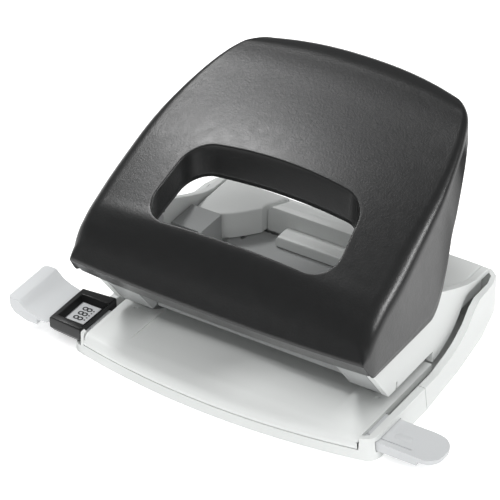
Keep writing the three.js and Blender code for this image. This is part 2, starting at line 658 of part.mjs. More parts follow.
// outline of the grip window: a trapezium with round corners and a bowed back edge
function windowPlan(grow) {
  const { front, rear, halfFront, halfRear, corner, bow } = WINDOW;
  const sharp = [
    [-halfFront - grow, front - grow], [halfFront + grow, front - grow],
    [halfRear + grow, rear + grow], [-halfRear - grow, rear + grow],
  ];
  const corners = rounded(sharp, corner + grow, 6);
  const backEdge = [];
  for (let i = 1; i < 8; i++) backEdge.push([(halfRear - corner) * (1 - i / 4), rear + grow]);
  const outline = [...corners.slice(0, 21), ...backEdge, ...corners.slice(21)];
  return outline.map(([x, y]) => {
    const share = THREE.MathUtils.clamp((y - front) / (rear - front), 0, 1);
    return [x, y + bow * share * (1 - Math.min(Math.abs(x) / halfRear, 1) ** 2)];
  });
}

function handleShell() {
  const cavity = handleBody(
    { inward: HANDLE_WALL, frontLimit: HANDLE_FRONT_CAVITY, rearLimit: 55.4, depth: 80, steps: 30 });
  const skin = handleBody({}).subtract(cavity);
  const collar = pullUp(windowPlan(WINDOW_WALL), 20, 100)
    .intersect(handleBody({ depth: WINDOW_DEPTH, frontLimit: -27, rearLimit: 30 }));
  return skin.add(collar).subtract(pullUp(windowPlan(0), 20, 100));
}

const LEVER = { x0: 38.4, x1: 45.3 };

// cheek that carries the pivot eye and the roller and hangs under the shell
function pressLever() {
  const profile = [
    ...arc(PIVOT.y, PIVOT.z, 5.6, 150, 290, 8),
    [-9, 34.5], [-4.2, 36.8], [-4, 39.4], ...arc(ROLLER.y, ROLLER.z, 3.5, 150, 20, 5),
    [5, 42], [9, 47], [10, 70], [-19.6, 70],
  ];
  const rollerSeat = rod(ROLLER.y, ROLLER.z, ROLLER_RADIUS + 0.25, 30, 50);
  const underShell = handleBody({ inward: HANDLE_WALL + GAP, depth: 60, frontLimit: -23, rearLimit: 20 });
  return pullSideways(profile, LEVER.x0, LEVER.x1)
    .intersect(underShell)
    .subtract(rollerSeat)
    .subtract(rod(PIVOT.y, PIVOT.z, AXLE_RADIUS + RUNNING_FIT, 0, 60));
}

const pressRoller = () => rod(ROLLER.y, ROLLER.z, ROLLER_RADIUS, LEVER.x0 - 0.4, LEVER.x1 + 0.2);

// ---------------------------------------------------------------- assembly

const finish = {
  light: { color: 0xd9dcda, roughness: 0.55, metalness: 0 },
  black: { color: 0x2b2d2d, roughness: 0.5, metalness: 0 },
  grey: { color: 0x9a9d9b, roughness: 0.5, metalness: 0 },
  pale: { color: 0xe6e9ec, roughness: 0.4, metalness: 0 },
  steel: { color: 0xb8babc, roughness: 0.3, metalness: 1 },
  rubber: { color: 0x303030, roughness: 0.9, metalness: 0 },
  label: { color: 0xc8cbce, roughness: 0.4, metalness: 0 },
};

const group = new THREE.Group();

function place(name, solid, look) {
  const mesh = new THREE.Mesh(toGeometry(solid), new THREE.MeshStandardMaterial(finish[look]));
  mesh.name = name;
  group.add(mesh);
}

// a piece and its mirror image; sides are seen from the front
function placePair(name, make, look) {
  const right = make();
  place(`${name}_right`, right, look);
  place(`${name}_left`, mirrorX(right), look);
}

place("lower_shell", lowerShell(), "light");
place("chad_tray", chadTray(), "light");
place("base_mat", baseMat(), "rubber");
placePair("tray_foot", trayFoot, "rubber");
place("bed_plate", bedPlate(), "light");
placePair("die_insert", dieInsert, "steel");
place("back_stop", backStop(), "grey");
place("bridge_plate", bridgePlate(), "grey");
placePair("side_plate", sidePlate, "light");
placePair("punch_block", punchBlock, "light");
placePair("punch_guide", punchGuide, "steel");
placePair("axle_pin", axlePin, "steel");
placePair("deck_ear", deckEar, "light");
place("rear_box", rearBox(), "light");
place("index_frame", indexFrame(), "black");
place("index_lens", indexLens(), "label");
place("guide_bar", guideBar(), "pale");
place("paper_stop", paperStop(), "pale");
placePair("punch_pin", punchPin, "steel");
placePair("punch_cap", punchCap, "steel");
placePair("punch_spring", punchSpring, "steel");
place("handle_shell", handleShell(), "black");
placePair("press_lever", pressLever, "grey");
placePair("press_roller", pressRoller, "steel");

export default group;
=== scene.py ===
# %% [markdown]
# # A two-hole desk punch
# The CAD model gives every part its true size and place, and says what moves. This script gives
# the punch its looks: rounded moulded edges, a smooth black handle, wound springs, printed
# figures, and a finish for each material. Everything is in metres; sizes below are written in
# millimetres and turned into metres once, by MM.

# %% Load the frame
import json

import bmesh
import bpy
import numpy as np
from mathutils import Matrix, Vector

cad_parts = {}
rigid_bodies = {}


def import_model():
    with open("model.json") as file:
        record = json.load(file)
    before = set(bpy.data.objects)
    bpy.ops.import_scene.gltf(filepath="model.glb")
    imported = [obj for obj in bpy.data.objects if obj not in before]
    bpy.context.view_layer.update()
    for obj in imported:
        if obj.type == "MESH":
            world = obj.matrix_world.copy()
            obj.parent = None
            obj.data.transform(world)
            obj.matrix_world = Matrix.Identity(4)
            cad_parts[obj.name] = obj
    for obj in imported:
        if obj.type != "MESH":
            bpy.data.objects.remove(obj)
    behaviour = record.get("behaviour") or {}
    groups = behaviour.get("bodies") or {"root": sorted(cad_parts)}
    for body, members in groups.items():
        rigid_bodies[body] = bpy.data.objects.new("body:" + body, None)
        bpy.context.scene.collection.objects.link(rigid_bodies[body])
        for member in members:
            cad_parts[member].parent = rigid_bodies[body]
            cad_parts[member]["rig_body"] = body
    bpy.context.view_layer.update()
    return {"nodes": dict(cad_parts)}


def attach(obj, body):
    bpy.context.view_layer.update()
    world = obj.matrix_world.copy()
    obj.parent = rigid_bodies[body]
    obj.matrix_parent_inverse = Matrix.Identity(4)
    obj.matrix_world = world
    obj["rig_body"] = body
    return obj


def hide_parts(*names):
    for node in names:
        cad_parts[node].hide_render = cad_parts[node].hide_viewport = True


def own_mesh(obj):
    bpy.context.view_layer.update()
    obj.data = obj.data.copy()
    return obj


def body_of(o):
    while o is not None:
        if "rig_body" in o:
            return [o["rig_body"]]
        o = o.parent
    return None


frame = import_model()
MM = 0.001

# %% [markdown]
# ## The camera
# The punch is seen from the front right and from above, with a long lens some distance away, so
# its edges stay almost parallel. The sight line points from the punch to the camera, and the
# camera is turned so that its own Z axis, which points backwards, lies along that line.

# %% Camera
CAMERA_PLACE = Vector((0.4474, -0.7193, 0.6251))
CAMERA_SIGHT = Vector((0.4389, -0.6967, 0.5674)).normalized()
CAMERA_LENS = 248.46

camera_data = bpy.data.cameras.new("camera")
camera_data.lens = CAMERA_LENS
camera_data.sensor_width = 36
camera_data.clip_start = 0.05
camera_data.clip_end = 20
camera = bpy.data.objects.new("camera", camera_data)
camera.location = CAMERA_PLACE
camera.rotation_euler = CAMERA_SIGHT.to_track_quat("Z", "Y").to_euler()
bpy.context.scene.collection.objects.link(camera)
bpy.context.scene.camera = camera
print("camera stands at", tuple(round(c, 3) for c in camera.location))

# %% [markdown]
# ## Making surfaces from grids
# Each new piece is a grid of points worked out with numpy. A grid can close on itself across its
# columns (a tube), along its rows (a ring), or both (a frame). `grid_object` joins neighbours
# with quads, and turns the faces outwards by the sign of the volume they enclose.


# %% Grid to mesh
def grid_faces(rows, columns, close_rows, close_columns):
    """Quads between grid neighbours: (r, c), (r, c + 1), (r + 1, c + 1), (r + 1, c)."""
    r = np.arange(rows if close_rows else rows - 1)
    c = np.arange(columns if close_columns else columns - 1)
    r, c = np.meshgrid(r, c, indexing="ij")
    next_r, next_c = (r + 1) % rows, (c + 1) % columns
    here, below = r * columns, next_r * columns
    return np.stack([here + c, here + next_c, below + next_c, below + c], -1).reshape(-1, 4)


def enclosed(points, faces):
    """Signed volume: a sixth of the sum of corner a . (b x c) over both triangles of each quad."""
    a, b, c, d = (points[faces[:, k]] for k in range(4))
    return np.sum(a * (np.cross(b, c) + np.cross(c, d))) / 6


def outward(points, faces):
    """The same faces, each turned round if together they enclose a negative volume."""
    return faces[:, ::-1] if enclosed(points, faces) < 0 else faces


def add_object(name, points, faces, smooth=True):
    """A mesh object at the origin from points in millimetres and lists of corner indices."""
    mesh = bpy.data.meshes.new(name)
    mesh.from_pydata((np.asarray(points) * MM).tolist(), [], faces)
    mesh.polygons.foreach_set("use_smooth", np.full(len(mesh.polygons), smooth))
    mesh.update()
    made = bpy.data.objects.new(name, mesh)
    bpy.context.scene.collection.objects.link(made)
    return made


def grid_object(name, grid, close_rows=False, caps=False):
    """Object from an array (rows, columns, 3) whose columns close; caps fill its first and last
    row."""
    rows, columns, _ = grid.shape
    points = grid.reshape(-1, 3)
    faces = outward(points, grid_faces(rows, columns, close_rows, True))
    turned = faces[0, 1] != 1
    faces = faces.tolist()
    if caps:
        first = list(range(columns))
        last = [k + (rows - 1) * columns for k in first]
        ends = [first, last[::-1]] if turned else [first[::-1], last]
        faces = faces + ends
    return add_object(name, points, faces)


print("grid helpers ready")

# %% [markdown]
# ## Reading smooth curves through a few sizes
# The handle is described by a short table of heights and widths along its length. A smooth curve
# through those values keeps the reflections on the black plastic calm, where straight pieces
# would show as bands. The slope at each value is the mean of the slopes on its two sides, held
# low enough that the curve never swings past the table's own highs and lows.


# %% Smooth table
def knot_slopes(knots, values):
    """Mean of the slopes before and after each knot, at most three times the gentler of the two,
    and 0 where they differ in sign."""
    step = np.diff(values) / np.diff(knots)
    before, after = np.concatenate([step[:1], step]), np.concatenate([step, step[-1:]])
    gentler = np.minimum(np.abs(before), np.abs(after))
    mean = (before + after) / 2
    return np.where(before * after > 0, np.clip(mean, -3 * gentler, 3 * gentler), 0)


def smooth_curve(table, column, at):
    """Cubic through table[:, column] over table[:, 0] that has the knot slopes above."""
    knots, values = table[:, 0], table[:, column]
    slopes = knot_slopes(knots, values)
    at = np.clip(at, knots[0], knots[-1])
    k = np.clip(np.searchsorted(knots, at) - 1, 0, len(knots) - 2)
    span = knots[k + 1] - knots[k]
    s = (at - knots[k]) / span
    ends = (2 * s**3 - 3 * s**2 + 1) * values[k] + (3 * s**2 - 2 * s**3) * values[k + 1]
    leans = (s**3 - 2 * s**2 + s) * slopes[k] + (s**3 - s**2) * slopes[k + 1]
    return ends + span * leans


def smoothstep(x, low, high):
    """0 below low, 1 above high, and 3 s squared - 2 s cubed between them."""
    s = np.clip((x - low) / (high - low), 0, 1)
    return s * s * (3 - 2 * s)


print("curve helpers ready")

# %% [markdown]
# ## The handle's measures
# The handle is one moulded black shell: a sloping top with a grip window, sides that flare down,
# and a bevelled front edge. Each row of the tables is a station from front to back, with the
# height of the top or of the rim, and its half width there. The same numbers describe the outside
# and, moved inwards by the wall, the inside.

# %% Handle tables
HANDLE_TOP = np.array([
    [-29.4, 37.0, 51.0], [-28.2, 39.4, 51.3], [-26.2, 43.2, 51.6], [-24.0, 46.3, 51.8],
    [-21.0, 48.9, 51.9], [-18.0, 51.0, 51.9], [-14.0, 53.0, 51.9], [-6.0, 57.0, 51.7],
    [2.0, 60.9, 51.1], [10.0, 64.4, 50.4], [18.0, 67.3, 49.4], [26.0, 70.0, 47.8],
    [34.0, 72.6, 45.8], [42.0, 75.1, 43.3], [46.6, 76.3, 41.5], [50.4, 77.1, 39.2],
    [53.6, 77.0, 36.2], [55.6, 75.6, 33.2], [56.8, 73.0, 31.2],
])
HANDLE_BOTTOM = np.array([
    [-29.4, 36.3, 51.1], [-25.2, 30.2, 51.7], [-23.5, 29.6, 51.8], [8.9, 29.6, 51.7],
    [12.7, 31.7, 51.6], [15.1, 35.0, 51.5], [16.8, 38.6, 51.4], [19.6, 46.3, 51.2],
    [21.2, 51.2, 50.9], [25.4, 56.5, 50.0], [30.0, 62.5, 48.8], [35.0, 68.0, 47.2],
    [40.0, 70.4, 45.0], [46.0, 71.0, 42.0], [50.4, 71.0, 38.8], [56.8, 71.0, 30.2],
])
HANDLE_FRONT, HANDLE_REAR = HANDLE_TOP[0, 0], HANDLE_TOP[-1, 0]
CAVITY_FRONT, CAVITY_REAR = -24.5, 55.4
HANDLE_WALL = 1.7
SLOPE_STEP = 0.05
# edge radius, and the most of the side's height that it may take up
FRONT_EDGE, REAR_EDGE, LEAST_EDGE = 5.0, 2.4, 0.2
FRONT_ROUND, REAR_ROUND = 0.45, 0.6
EDGE_CHANGE, ROUND_CHANGE = (-5, 42), (-20, 20)
# height of the crown, the stations where it changes, and those where it grows from nothing
FRONT_CROWN, REAR_CROWN = 3.4, 1.8
CROWN_CHANGE, CROWN_RISE = (8, 50), (-29.4, -18)
# how far the middle is bowed along Y, how square the bow is, and how it grows along the handle
FRONT_BOW, REAR_BOW = -1.8, 4.4
BOW_POWER = 2.5
BOW_GROWTH = 1.5
BOW_GUESSES = 5
# the grip window: its ends, half widths, corner radius, bowed back edge, and its wall
WINDOW_FRONT, WINDOW_REAR = -18.8, 7.3
WINDOW_HALF_FRONT, WINDOW_HALF_REAR = 33.2, 29.8
WINDOW_CORNER = 8.0
WINDOW_BOW = 2.3
WINDOW_DEPTH = 8.8
WINDOW_WALL = 1.5
WINDOW_BEAD = 0.5
print("handle stations:", len(HANDLE_TOP), "along the top,", len(HANDLE_BOTTOM), "along the rim")

# %% [markdown]
# ## The handle's surface as a function
# Every point of the shell is found from a station and a share of the half width. The top is
# crowned, so it is highest in the middle, and bowed, so the front and back edges curve in plan.


# %% Handle sections
def handle_bow(t, share):
    """Shift along Y: the bow at station t times 1 - |share| ** BOW_POWER, so none at the sides."""
    length = np.clip((t - HANDLE_FRONT) / (HANDLE_REAR - HANDLE_FRONT), 0, 1)
    bow = FRONT_BOW + (REAR_BOW - FRONT_BOW) * length**BOW_GROWTH
    return bow * (1 - np.minimum(np.abs(share), 1) ** BOW_POWER)


def handle_ring(t, inward):
    """Measures of the cross-section at station t, for the surface that far inward."""
    ahead, behind = (smooth_curve(HANDLE_TOP, 1, t + step) for step in (SLOPE_STEP, -SLOPE_STEP))
    slope = (ahead - behind) / (2 * SLOPE_STEP)
    rim = smooth_curve(HANDLE_BOTTOM, 1, t)
    top = smooth_curve(HANDLE_TOP, 1, t) - inward * np.sqrt(1 + slope**2)
    half = smooth_curve(HANDLE_TOP, 2, t) - inward
    round_share = FRONT_ROUND + (REAR_ROUND - FRONT_ROUND) * smoothstep(t, *ROUND_CHANGE)
    edge = FRONT_EDGE + (REAR_EDGE - FRONT_EDGE) * smoothstep(t, *EDGE_CHANGE)
    radius = np.maximum(np.minimum(edge - inward, round_share * (top - rim)), LEAST_EDGE)
    crown = FRONT_CROWN + (REAR_CROWN - FRONT_CROWN) * smoothstep(t, *CROWN_CHANGE)
    crown = crown * smoothstep(t, *CROWN_RISE)
    return {
        "top": top, "rim": rim, "half": half, "radius": radius, "flat": half - radius,
        "low": smooth_curve(HANDLE_BOTTOM, 2, t) - inward, "crown": crown,
    }


print("half width at station 10:", handle_ring(np.array([10.0]), 0.0)["half"].round(2)[0])

# %% [markdown]
# ## Top and skirt
# The top is a sheet between two side edges. The skirt goes on from its border: a quarter turn
# round the edge radius and then down the side to the rim. At the front and the back the border is
# a curved line, and the skirt closes the shell there as well.


# %% Top and skirt
def top_point(t, share, inward=0.0):
    """Point of the top: x = share * flat half width, z = top + crown * (1 - share squared)."""
    ring = handle_ring(t, inward)
    x = share * ring["flat"]
    y = t + handle_bow(t, x / ring["half"])
    z = ring["top"] + ring["crown"] * (1 - share**2)
    return np.stack([x, y, z], -1)


def station_of(x, y, inward=0.0):
    """Station and share of a point in plan: the bow at the last guess is taken off y, and so on."""
    t = y
    for _ in range(BOW_GUESSES):
        t = y - handle_bow(t, x / handle_ring(t, inward)["half"])
    return t, x / handle_ring(t, inward)["flat"]


def skirt_point(t, share, down, inward=0.0, arc=0.45):
    """Point below the top's edge: down 0..arc runs round the edge radius, and arc..1 down the side,
    which leans out to the rim; where the side is short, the lean is spread over the radius too.
    Share +-1 is the side; between them lie the end caps, whose crown fades as down grows."""
    ring = handle_ring(t, inward)
    start = np.arctan(2 * ring["crown"] / ring["flat"])
    angle = start + (np.pi / 2 - start) * np.minimum(down / arc, 1)
    drop = np.maximum((down - arc) / (1 - arc), 0)
    round_x = (np.sin(angle) - np.sin(start)) / (1 - np.sin(start))
    round_z = 1 - np.cos(angle) / np.cos(start)
    side_height = ring["top"] - ring["radius"] - ring["rim"]
    long_side = np.clip(side_height / ring["radius"], 0, 1)
    lean = long_side * drop + (1 - long_side) * down**2
    x = ring["flat"] + ring["radius"] * round_x + (ring["low"] - ring["half"]) * lean
    z = ring["top"] - ring["radius"] * round_z - side_height * drop
    z = z + ring["crown"] * (1 - share**2) * (1 - down)
    x = x * share
    y = t + handle_bow(t, x / ring["half"])
    return np.stack([x, y, z], -1)


print("handle top at the middle station:", top_point(np.array([10.0]), np.array([0.0])).round(2)[0])

# %% [markdown]
# ## The grip window
# The window is a trapezium with round corners, and its back edge is bowed. The outline is cut
# into four parts at the middle of its corners, so that each part faces one side of the handle and
# the grid lines between the window and the handle's edge never cross.

# %% Window outline
FRONT_COLUMNS, SIDE_COLUMNS = 72, 84
CORNER_STEPS = 24
STRAIGHT_STEPS = 40


def rounded_corner(x, y, radius, into, out):
    """Arc of that radius that touches the two straight edges, with headings into and out, whose
    sharp corner is at (x, y). Headings are in degrees."""
    turn = (out - into) % 360
    setback = radius * np.tan(np.radians(turn / 2))
    heading = np.radians(into)
    cx = x - setback * np.cos(heading) - radius * np.sin(heading)
    cy = y - setback * np.sin(heading) + radius * np.cos(heading)
    angle = np.radians(np.linspace(into - 90, into - 90 + turn, CORNER_STEPS))
    return np.stack([cx + radius * np.cos(angle), cy + radius * np.sin(angle)], -1)


def window_side(start, end, count):
    """Evenly spaced points from the middle of one corner's arc to the middle of the next."""
    middle = len(start) // 2
    straight = np.linspace(start[-1], end[0], STRAIGHT_STEPS)[1:-1]
    path = np.concatenate([start[middle:], straight, end[: middle + 1]])
    along = np.concatenate([[0], np.cumsum(np.linalg.norm(np.diff(path, axis=0), axis=1))])
    at = np.linspace(0, along[-1], count, endpoint=False)
    return np.stack([np.interp(at, along, path[:, k]) for k in range(2)], -1)


def window_loop(grow):
    """Outline of the window moved out by grow, from the front left corner's middle and round."""
    radius = WINDOW_CORNER + grow
    wide, narrow = WINDOW_HALF_FRONT + grow, WINDOW_HALF_REAR + grow
    front, rear = WINDOW_FRONT - grow, WINDOW_REAR + grow
    rise = np.degrees(np.arctan2(rear - front, narrow - wide))
    front_left = rounded_corner(-wide, front, radius, -rise, 0)
    front_right = rounded_corner(wide, front, radius, 0, rise)
    rear_right = rounded_corner(narrow, rear, radius, rise, 180)
    rear_left = rounded_corner(-narrow, rear, radius, 180, 360 - rise)
    corners = [front_left, front_right, rear_right, rear_left]
    counts = [FRONT_COLUMNS, SIDE_COLUMNS] * 2
    sides = zip(corners, corners[1:] + corners[:1], counts)
    outline = np.concatenate([window_side(start, end, count) for start, end, count in sides])
    share = np.clip((outline[:, 1] - WINDOW_FRONT) / (WINDOW_REAR - WINDOW_FRONT), 0, 1)
    bulge = 1 - np.minimum(np.abs(outline[:, 0]) / WINDOW_HALF_REAR, 1) ** 2
    outline[:, 1] += WINDOW_BOW * share * bulge
    return outline


print("window outline:", len(window_loop(0)), "points")

# %% [markdown]
# ## The handle as one closed grid
# One grid wraps the whole shell, as a ring wraps a finger: up the window wall, over a small bead,
# out across the top, round the edge, down the side, across the rim, and back along the inside to
# the foot of the window wall. Both directions close, so no seam is left open. A single grid gives
# the satin plastic an even flow of faces, and the reflections run over it without a break.

# %% Columns of the grid
FRONT_SETBACK, REAR_SETBACK = 16, 12


def eased(count):
    """Steps from 0 to 1 that are closer together near both ends."""
    u = np.linspace(0, 1, count, endpoint=False)
    return 0.5 * u + 0.25 * (1 - np.cos(np.pi * u))


def edge_loop(front, rear):
    """Station and share of every column where the top meets the edge."""
    sides, fronts = eased(SIDE_COLUMNS), eased(FRONT_COLUMNS)
    t = np.concatenate([
        np.full(FRONT_COLUMNS, front), front + (rear - front) * sides,
        np.full(FRONT_COLUMNS, rear), rear + (front - rear) * sides,
    ])
    share = np.concatenate([
        2 * fronts - 1, np.ones(SIDE_COLUMNS), 1 - 2 * fronts, -np.ones(SIDE_COLUMNS),
    ])
    return t, share


def inner_station(t):
    """Station on the inside across the rim from t: set back at the front, forward at the rear."""
    at_front = np.clip(1 - (t - HANDLE_FRONT) / FRONT_SETBACK, 0, 1) ** 2
    at_rear = np.clip(1 - (HANDLE_REAR - t) / REAR_SETBACK, 0, 1) ** 2
    return t + (CAVITY_FRONT - HANDLE_FRONT) * at_front + (CAVITY_REAR - HANDLE_REAR) * at_rear


print("columns round the handle:", len(edge_loop(HANDLE_FRONT, HANDLE_REAR)[0]))

# %% [markdown]
# ## Rows from the window outwards
# Near the window a row follows the window's outline, and near the edge it follows the edge. The
# rows between them are spread evenly in station and share, which keeps them on the crowned
# surface.


# %% Rows of the grid
def window_point(grow, below, inward=0.0):
    """Points on the outline grown by that much, so far below the surface."""
    plan = window_loop(grow)
    t, share = station_of(plan[:, 0], plan[:, 1], inward)
    height = top_point(t, share, inward)[:, 2] - below
    return np.column_stack([plan, height])


def window_foot(grow):
    """Lower edge of the window wall: it follows the side edges, so it has no crown."""
    plan = window_loop(grow)
    t, _ = station_of(plan[:, 0], plan[:, 1])
    return np.column_stack([plan, handle_ring(t, 0.0)["top"] - WINDOW_DEPTH])


def between(first, last, shares):
    """Rows of points that go straight from first to last."""
    return [first * (1 - u) + last * u for u in shares]


def spread_rows(start, end, inward, shares):
    """Rows over the top, straight in station and share from start to end."""
    (t0, share0), (t1, share1) = start, end
    return [top_point(t0 + (t1 - t0) * u, share0 + (share1 - share0) * u, inward) for u in shares]


def station_loop(grow, inward):
    """Station and share of every point of the window's outline."""
    plan = window_loop(grow)
    return station_of(plan[:, 0], plan[:, 1], inward)


print("window outline rises by", round(np.ptp(window_point(0, 0)[:, 2]), 1), "mm")

# %% [markdown]
# ## The handle as one piece
# The rows are put in order round the ring: window wall, bead, top, skirt, rim, inner skirt, inner
# top and collar. The finished piece takes the place of the CAD handle and moves with it.

# %% Handle piece
WALL_ROWS, BEAD_ROWS, TOP_ROWS, SKIRT_ROWS, INNER_ROWS, COLLAR_ROWS = 8, 7, 44, 22, 20, 6
RIM_SHARES = (0.06, 0.5, 0.94)


def handle_grid():
    """All the rows of the shell, in order round the ring described above."""
    edge_t, edge_share = edge_loop(HANDLE_FRONT, HANDLE_REAR)
    inner_t = inner_station(edge_t)
    wall = between(window_foot(0), window_point(0, WINDOW_BEAD), np.linspace(0, 1, WALL_ROWS))
    bead = [
        window_point(WINDOW_BEAD * (1 - np.cos(angle)), WINDOW_BEAD * (1 - np.sin(angle)))
        for angle in np.linspace(0, np.pi / 2, BEAD_ROWS)[1:-1]
    ]
    top = spread_rows(
        station_loop(WINDOW_BEAD, 0.0), (edge_t, edge_share), 0.0, np.linspace(0, 1, TOP_ROWS))
    down = np.linspace(0, 1, SKIRT_ROWS)
    skirt = [skirt_point(edge_t, edge_share, d) for d in down[1:]]
    inner_skirt = [skirt_point(inner_t, edge_share, d, HANDLE_WALL) for d in down[::-1]]
    rim = between(skirt[-1], inner_skirt[0], RIM_SHARES)
    inner_top = spread_rows(
        (inner_t, edge_share), station_loop(WINDOW_WALL, HANDLE_WALL), HANDLE_WALL,
        np.linspace(0, 1, INNER_ROWS)[1:])
    collar_top = window_point(WINDOW_WALL, 0, HANDLE_WALL)
    collar = between(collar_top, window_foot(WINDOW_WALL), np.linspace(0, 1, COLLAR_ROWS)[1:])
    return np.stack(wall + bead + top + skirt + rim + inner_skirt + inner_top + collar)


handle_skin = grid_object("handle_skin", handle_grid(), close_rows=True)
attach(handle_skin, "handle")
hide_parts("handle_shell")
print("handle faces:", len(handle_skin.data.polygons))

# %% [markdown]
# ## Softened edges
# No moulded or pressed part has a perfectly sharp edge. A thin round along each edge catches the
# light as a fine bright line, and that line is most of what makes a part look real. The CAD part
# is copied, its loose triangles are joined, flat faces are merged, and a Bevel modifier rounds
# what is left of the edges. The part's outline and place stay those of the CAD model.

# %% Softened copies
SOFT_EDGE = {
    "lower_shell": 0.35, "bed_plate": 0.25, "chad_tray": 0.35, "base_mat": 0.15, "tray_foot": 0.1,
    "die_insert": 0.12, "back_stop": 0.2, "bridge_plate": 0.3, "side_plate": 0.3, "deck_ear": 0.3,
    "rear_box": 0.3, "index_frame": 0.2, "index_lens": 0.1, "guide_bar": 0.2, "paper_stop": 0.3,
    "punch_block": 0.2, "punch_guide": 0.15, "axle_pin": 0.2, "punch_pin": 0.1, "punch_cap": 0.15,
    "press_lever": 0.25, "press_roller": 0.15,
}
SHARP_ANGLE = np.radians(32)
FLAT_ANGLE = np.radians(1.0)
JOIN_DISTANCE = 0.01 * MM
BEVEL_SEGMENTS = 2


def kind_of(node):
    """A node's name without its side."""
    return node.removesuffix("_right").removesuffix("_left")


def softened(node, width):
    """A copy of a CAD node with its edges rounded by a bevel of that width, in millimetres."""
    source = frame["nodes"][node]
    mesh = source.data.copy()
    mesh.name = f"fine_{node}"
    work = bmesh.new()
    work.from_mesh(mesh)
    bmesh.ops.remove_doubles(work, verts=work.verts, dist=JOIN_DISTANCE)
    bmesh.ops.dissolve_limit(work, angle_limit=FLAT_ANGLE, verts=work.verts, edges=work.edges)
    for face in work.faces:
        face.smooth = True
    work.to_mesh(mesh)
    work.free()
    if "custom_normal" in mesh.attributes:
        mesh.attributes.remove(mesh.attributes["custom_normal"])
    mesh.materials.clear()
    mesh.update()
    made = bpy.data.objects.new(f"fine_{node}", mesh)
    bpy.context.scene.collection.objects.link(made)
    bevel = made.modifiers.new("soft edges", "BEVEL")
    bevel.width = width * MM
    bevel.segments = BEVEL_SEGMENTS
    bevel.limit_method = "ANGLE"
    bevel.angle_limit = SHARP_ANGLE
    bevel.harden_normals = True
    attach(made, body_of(source)[0])
    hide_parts(node)
    return made


fine = {}
for node in sorted(frame["nodes"]):
    if kind_of(node) in SOFT_EDGE:
        fine[node] = softened(node, SOFT_EDGE[kind_of(node)])
print("softened copies:", len(fine))

# %% [markdown]
# ## Return springs
# Under each punch head sits a small compression spring, wound from drawn wire. Its first and last
# turns lie almost flat so that it stands straight. The wire is a round profile carried along the
# coil. The spring moves with its punch as one rigid piece.

# %% Springs
SPRING_FOOT, SPRING_HEAD = 16.95, 32.95
COIL_RADIUS = 3.42
WIRE_RADIUS = 0.42
COIL_TURNS = 6.5
COIL_EASE = 0.11
COIL_RINGS, COIL_SIDES = 260, 12
PUNCH_SPACING = 80.0


def coil_grid(x):
    """Tube round the path (x + R cos a, R sin a, z), where z eases in and out at the end turns."""
    u = np.linspace(0, 1, COIL_RINGS)
    angle = 2 * np.pi * COIL_TURNS * u
    low, high = SPRING_FOOT + WIRE_RADIUS, SPRING_HEAD - WIRE_RADIUS
    z = low + (high - low) * (u - COIL_EASE * np.sin(2 * np.pi * u))
    out = np.stack([np.cos(angle), np.sin(angle), np.zeros(COIL_RINGS)], -1)
    path = out * COIL_RADIUS + np.stack([np.full(COIL_RINGS, x), np.zeros(COIL_RINGS), z], -1)
    along = np.gradient(path, axis=0)
    along /= np.linalg.norm(along, axis=1, keepdims=True)
    across = np.cross(along, out)
    turn = np.linspace(0, 2 * np.pi, COIL_SIDES, endpoint=False)
    cos, sin = np.cos(turn)[None, :, None], np.sin(turn)[None, :, None]
    return path[:, None] + WIRE_RADIUS * (cos * out[:, None] + sin * across[:, None])


springs = []
for side, sign in (("right", 1), ("left", -1)):
    x = sign * PUNCH_SPACING / 2
    spring = grid_object(f"coil_spring_{side}", coil_grid(x), caps=True)
    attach(spring, f"punch_{side}")
    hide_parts(f"punch_spring_{side}")
    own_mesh(spring)
    springs.append(spring)

# %% [markdown]
# ## Figures in the size window
# A strip under the small window shows a row of figures for the paper size. Each figure is an 8
# made of two loops of printed line. A loop is a flat, slightly raised profile carried round an
# ellipse, so the print stays sharp at any size.

# %% Printed figures
PRINT_LEVEL = 7.15
PRINT_RISE, PRINT_SINK = 0.05, 0.03
PRINT_LINE = 0.56
PRINT_EDGE, PRINT_SIDES = 0.42, 40
FIGURE_PITCH = 2.55
STRIP_MIDDLE = (-55.7, -17.05)
LOOP_HALF_X, LOOP_HALF_Y = 0.74, 0.72
DOT_PITCH = 1.3
DOT_OFFSET = 2.3
DOT_RADIUS, DOT_LINE = 0.16, 1.8 * 0.16


def loop_grid(x, y, half_x, half_y, line):
    """Flat profile, as wide as the line, carried round the ellipse with those half axes."""
    angle = np.linspace(0, 2 * np.pi, PRINT_SIDES, endpoint=False)
    offset = np.array([-0.5, -PRINT_EDGE, PRINT_EDGE, 0.5]) * line
    level = np.array([-PRINT_SINK, PRINT_RISE, PRINT_RISE, -PRINT_SINK])
    reach_x, reach_y = half_x + offset[None], half_y + offset[None]
    px = x + reach_x * np.cos(angle)[:, None]
    py = y + reach_y * np.sin(angle)[:, None]
    pz = np.broadcast_to(PRINT_LEVEL + level, px.shape)
    return np.stack([px, py, pz], -1)


def print_figures():
    """Three figures in a row along Y, each of two loops that share a side, and a row of dots."""
    x, y = STRIP_MIDDLE
    loops = [(x + up * LOOP_HALF_X, y + k * FIGURE_PITCH) for k in (-1, 0, 1) for up in (-1, 1)]
    figures = [loop_grid(*middle, LOOP_HALF_X, LOOP_HALF_Y, PRINT_LINE) for middle in loops]
    spots = [(x + DOT_OFFSET, y + k * DOT_PITCH) for k in (-2, -1, 0, 1, 2)]
    dots = [loop_grid(*middle, DOT_RADIUS, DOT_RADIUS, DOT_LINE) for middle in spots]
    grids = np.stack(figures + dots)
    count, rows, columns, _ = grids.shape
    quads = grid_faces(rows, columns, True, True)
    return grids.reshape(-1, 3), np.concatenate([quads + k * rows * columns for k in range(count)])


figure_points, figure_faces = print_figures()
figure_faces = outward(figure_points, figure_faces).tolist()
figures = add_object("size_figures", figure_points, figure_faces, smooth=False)
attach(figures, "base")
print("figure faces:", len(figures.data.polygons))

